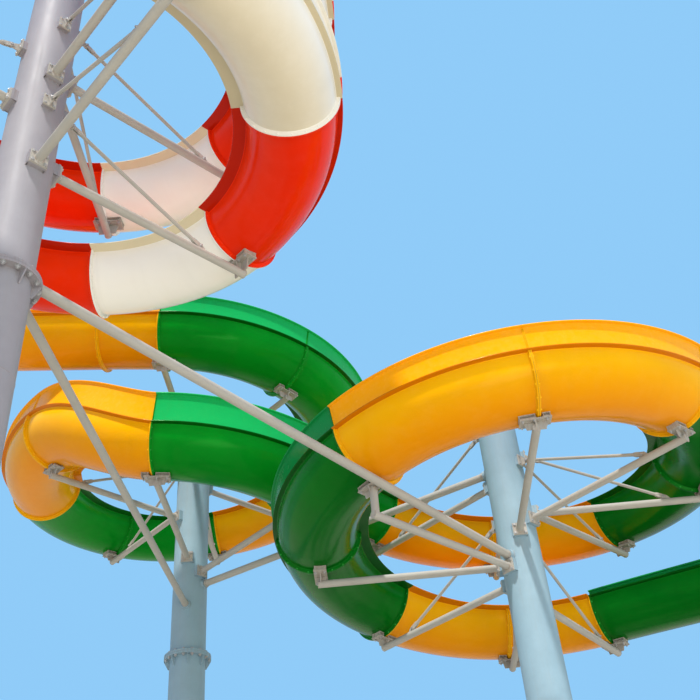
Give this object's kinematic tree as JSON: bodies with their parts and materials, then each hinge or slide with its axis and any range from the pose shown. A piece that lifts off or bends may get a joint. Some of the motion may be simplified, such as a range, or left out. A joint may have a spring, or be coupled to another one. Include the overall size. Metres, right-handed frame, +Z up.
{
  "type": "water slide tower",
  "caption": "Open water slide flumes winding down round steel columns on radial arms, tied together by beams.",
  "frame": {"origin": "on the ground, under the middle of the right hand column's base plate", "axes": "+Z up; +Y the way the picture looks along the ground; +X to its right"},
  "size_m": [12.7417, 13.6373, 12.35],
  "materials": {
    "orange_gelcoat": "glossy gel coat on glass fibre",
    "green_gelcoat": "glossy gel coat on glass fibre",
    "red_gelcoat": "glossy gel coat on glass fibre",
    "white_gelcoat": "glossy gel coat on glass fibre",
    "column_paint": "pale blue-grey paint, satin",
    "arm_paint": "light grey paint, satin"
  },
  "bodies": {
    "root": {"flume_entry": "orange_gelcoat", "flume_mid_1": "green_gelcoat", "flume_mid_2": "orange_gelcoat", "flume_mid_3": "green_gelcoat", "flume_mid_4": "orange_gelcoat", "flume_crossing": "green_gelcoat", "flume_right_1": "orange_gelcoat", "flume_right_2": "green_gelcoat", "flume_right_3": "orange_gelcoat", "flume_right_4": "green_gelcoat", "flume_right_5": "orange_gelcoat", "flume_exit": "green_gelcoat", "ring_bay_1": "red_gelcoat", "ring_bay_2": "white_gelcoat", "ring_bay_3": "red_gelcoat", "ring_bay_4": "white_gelcoat", "ring_bay_5": "red_gelcoat", "ring_bay_6": "white_gelcoat", "ring_bay_7": "red_gelcoat", "ring_bay_8": "white_gelcoat", "ring_bay_9": "red_gelcoat", "ring_bay_10": "white_gelcoat", "ring_bay_11": "red_gelcoat", "ring_bay_12": "white_gelcoat", "arm_mid_1": "arm_paint", "arm_mid_2": "arm_paint", "arm_mid_3": "arm_paint", "arm_mid_4": "arm_paint", "arm_mid_5": "arm_paint", "arm_mid_6": "arm_paint", "arm_mid_8": "arm_paint", "arm_mid_9": "arm_paint", "arm_mid_10": "arm_paint", "arm_right_1": "arm_paint", "arm_right_2": "arm_paint", "arm_right_3": "arm_paint", "arm_right_4": "arm_paint", "arm_right_5": "arm_paint", "arm_right_6": "arm_paint", "arm_right_7": "arm_paint", "arm_right_8": "arm_paint", "arm_right_9": "arm_paint", "arm_right_10": "arm_paint", "arm_right_11": "arm_paint", "arm_left_1": "arm_paint", "arm_left_2": "arm_paint", "arm_left_3": "arm_paint", "arm_left_4": "arm_paint", "arm_left_5": "arm_paint", "arm_left_6": "arm_paint", "arm_left_7": "arm_paint", "tie_left_right": "arm_paint", "tie_left_mid": "arm_paint", "tie_mid_right": "arm_paint", "column_right": "column_paint", "column_mid": "column_paint", "column_left": "column_paint"}
  },
  "joints": []
}
